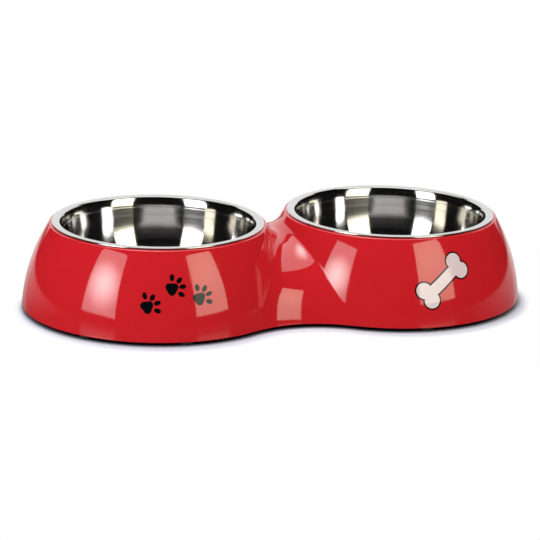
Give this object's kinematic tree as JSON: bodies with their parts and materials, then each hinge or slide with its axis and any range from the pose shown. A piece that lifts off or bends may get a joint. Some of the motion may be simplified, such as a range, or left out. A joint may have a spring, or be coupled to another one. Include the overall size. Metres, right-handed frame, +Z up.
{
  "type": "double pet bowl",
  "caption": "Glossy two-lobed moulded stand with lift-out stainless steel bowls seated in its round openings, on small rubber feet, for a pet's food and water.",
  "frame": {"origin": "on the floor under the rubber feet, midway between the two bowls", "axes": "+X towards the right bowl along the stand's length, -Y towards the front, +Z up"},
  "size_m": [0.3394, 0.1788, 0.0588],
  "materials": {
    "red_melamine": "glossy moulded melamine",
    "brushed_steel": "bright stainless steel, finely brushed round the bowl",
    "foot_rubber": "matt"
  },
  "bodies": {
    "stand": {"stand_shell": "red_melamine", "foot_left_front": "foot_rubber", "foot_left_front_end": "foot_rubber", "foot_left_rear": "foot_rubber", "foot_left_rear_end": "foot_rubber", "foot_right_front": "foot_rubber", "foot_right_front_end": "foot_rubber", "foot_right_rear": "foot_rubber", "foot_right_rear_end": "foot_rubber"},
    "left_bowl": {"left_bowl": "brushed_steel"},
    "right_bowl": {"right_bowl": "brushed_steel"}
  },
  "joints": [
    {"name": "left_bowl_lift", "type": "slide", "parent": "stand", "child": "left_bowl", "axis": [0, 0, 1], "range_m": [0, 0.06]},
    {"name": "right_bowl_lift", "type": "slide", "parent": "stand", "child": "right_bowl", "axis": [0, 0, 1], "range_m": [0, 0.06]}
  ]
}
